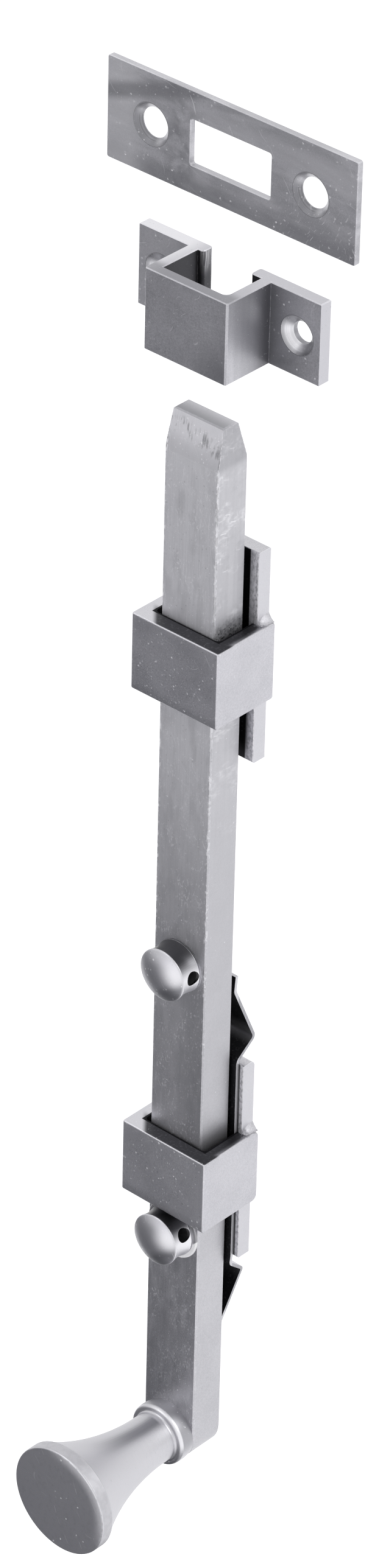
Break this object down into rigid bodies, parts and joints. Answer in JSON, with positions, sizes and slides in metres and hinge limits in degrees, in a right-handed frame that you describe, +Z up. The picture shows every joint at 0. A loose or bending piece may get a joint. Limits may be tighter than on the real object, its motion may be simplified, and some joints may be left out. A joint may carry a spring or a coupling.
{
  "type": "surface bolt",
  "caption": "Surface-mounted door bolt: a flat bar slides in two guides, thrown by a flared pull knob, with a leaf spring, turned stops, a box keeper and a slotted strike plate.",
  "frame": {"origin": "on the door face, at the back of the lower guide plate, level with the middle of the lower guide", "axes": "+Z up along the bar towards its tip, -Y out of the door towards the user, +X to the user's right"},
  "size_m": [0.0712, 0.0549, 0.3659],
  "materials": {
    "bar_steel": "rough brushed, streaked along its length",
    "guide_steel": "satin, lightly pitted",
    "plate_steel": "satin, speckled",
    "spring_steel": "dark tempered strip",
    "stop_steel": "turned satin",
    "knob_steel": "turned satin",
    "screw_steel": "turned satin",
    "keeper_steel": "satin, lightly pitted",
    "strike_steel": "satin, scratched"
  },
  "bodies": {
    "fixed": {"strike_plate": "strike_steel", "box_keeper": "keeper_steel", "upper_guide_sleeve": "guide_steel", "upper_guide_plate": "plate_steel", "lower_guide_sleeve": "guide_steel", "lower_guide_plate": "plate_steel", "leaf_spring": "spring_steel"},
    "bolt": {"bolt_bar": "bar_steel", "upper_stop": "stop_steel", "lower_stop": "stop_steel", "lower_stop_washer": "stop_steel", "knob": "knob_steel", "knob_screw": "screw_steel"}
  },
  "joints": [
    {"name": "bolt_slide", "type": "slide", "parent": "fixed", "child": "bolt", "axis": [0, 0, 1], "range_m": [-0.04165, 0]}
  ]
}
